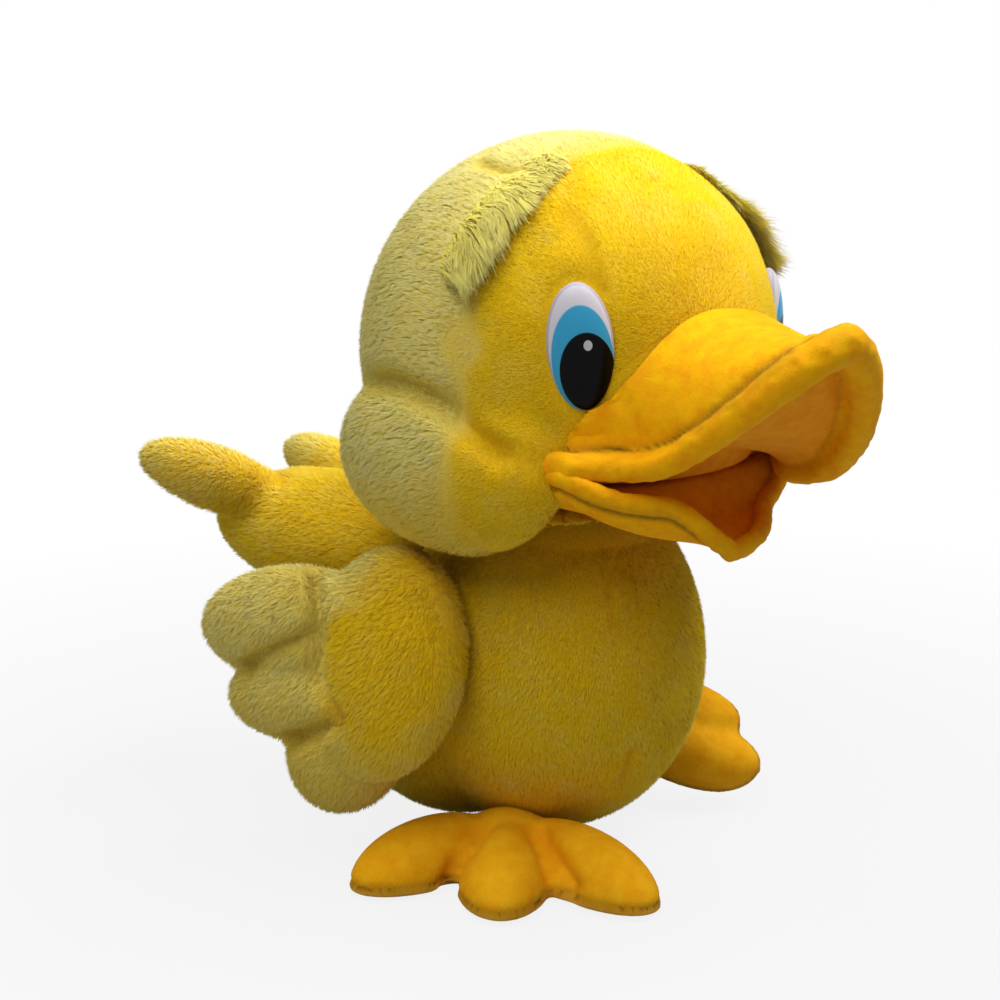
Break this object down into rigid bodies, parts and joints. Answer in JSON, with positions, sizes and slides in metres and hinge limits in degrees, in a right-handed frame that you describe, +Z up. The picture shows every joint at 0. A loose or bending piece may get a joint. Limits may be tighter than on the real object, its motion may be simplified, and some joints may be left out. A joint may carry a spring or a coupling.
{
  "type": "plush duck",
  "caption": "Stuffed plush duck that stands on its round base and feet, with a large head, an open soft bill, winged sides and a feathered tail.",
  "frame": {"origin": "on the floor, under the axis of the torso", "axes": "-Y the way the body faces, +X its left side, +Z up"},
  "size_m": [0.2456, 0.3803, 0.3436],
  "materials": {
    "plush_yellow": "soft short pile",
    "plush_pale": "soft long pile",
    "velour_orange": "velour",
    "velour_peach": "velour",
    "velour_amber": "velour",
    "velour_tan": "velour",
    "fibre_fill": "loose polyester fibre",
    "pouch_cloth": "woven cloth bag of pellets",
    "eye_plastic": "glossy, printed white, blue and black",
    "washer_plastic": "matte"
  },
  "bodies": {
    "torso": {"torso_cover": "plush_yellow", "torso_stuffing": "fibre_fill", "pellet_pouch": "pouch_cloth", "neck_stuffing": "fibre_fill"},
    "head": {"head_cover": "plush_yellow", "head_stuffing": "fibre_fill", "eye_right": "eye_plastic", "eye_right_washer": "washer_plastic", "eye_left": "eye_plastic", "eye_left_washer": "washer_plastic", "brow_right": "plush_pale", "brow_left": "plush_pale", "upper_bill_cover": "velour_orange", "upper_bill_stuffing": "fibre_fill", "upper_bill_lining": "velour_peach"},
    "lower_bill": {"lower_bill_cover": "velour_orange", "lower_bill_stuffing": "fibre_fill", "lower_bill_lining": "velour_peach"},
    "wing_right": {"wing_right_cover": "plush_pale", "wing_right_stuffing": "fibre_fill"},
    "wing_left": {"wing_left_cover": "plush_pale", "wing_left_stuffing": "fibre_fill"},
    "tail": {"tail_cover": "plush_yellow", "tail_stuffing": "fibre_fill"},
    "foot_right": {"foot_right_cover": "velour_amber", "foot_right_stuffing": "fibre_fill", "foot_right_sole": "velour_tan"},
    "foot_left": {"foot_left_cover": "velour_amber", "foot_left_stuffing": "fibre_fill", "foot_left_sole": "velour_tan"}
  },
  "joints": [
    {"name": "head_turn", "type": "hinge", "parent": "torso", "child": "head", "pos_m": [0, 0, 0.16], "axis": [0, 0, 1], "range_deg": [-15, 55], "stiffness_Nm_per_rad": 1.2},
    {"name": "lower_bill_open", "type": "hinge", "parent": "head", "child": "lower_bill", "pos_m": [-0.02257, -0.06202, 0.1626], "axis": [0.9397, -0.342, 0], "range_deg": [0, 15], "stiffness_Nm_per_rad": 0.2, "springref_deg": -2.86},
    {"name": "wing_right_spread", "type": "hinge", "parent": "torso", "child": "wing_right", "pos_m": [-0.078, -0.004, 0.1], "axis": [0, 0, 1], "range_deg": [0, 35], "stiffness_Nm_per_rad": 0.3},
    {"name": "wing_left_spread", "type": "hinge", "parent": "torso", "child": "wing_left", "pos_m": [0.078, -0.004, 0.1], "axis": [0, 0, 1], "range_deg": [-35, 0], "stiffness_Nm_per_rad": 0.3},
    {"name": "tail_lift", "type": "hinge", "parent": "torso", "child": "tail", "pos_m": [0, 0.05955, 0.15], "axis": [1, 0, 0], "range_deg": [0, 20], "stiffness_Nm_per_rad": 0.6},
    {"name": "foot_right_lift", "type": "hinge", "parent": "torso", "child": "foot_right", "pos_m": [-0.05688, -0.00507, 0.014], "axis": [-0.4226, 0.9063, 0], "range_deg": [0, 10], "stiffness_Nm_per_rad": 0.4},
    {"name": "foot_left_sink", "type": "hinge", "parent": "torso", "child": "foot_left", "pos_m": [0.03645, 0.00977, 0], "axis": [0.2113, -0.9774, 0], "range_deg": [-10, 0], "stiffness_Nm_per_rad": 0.4, "springref_deg": 2.86}
  ]
}
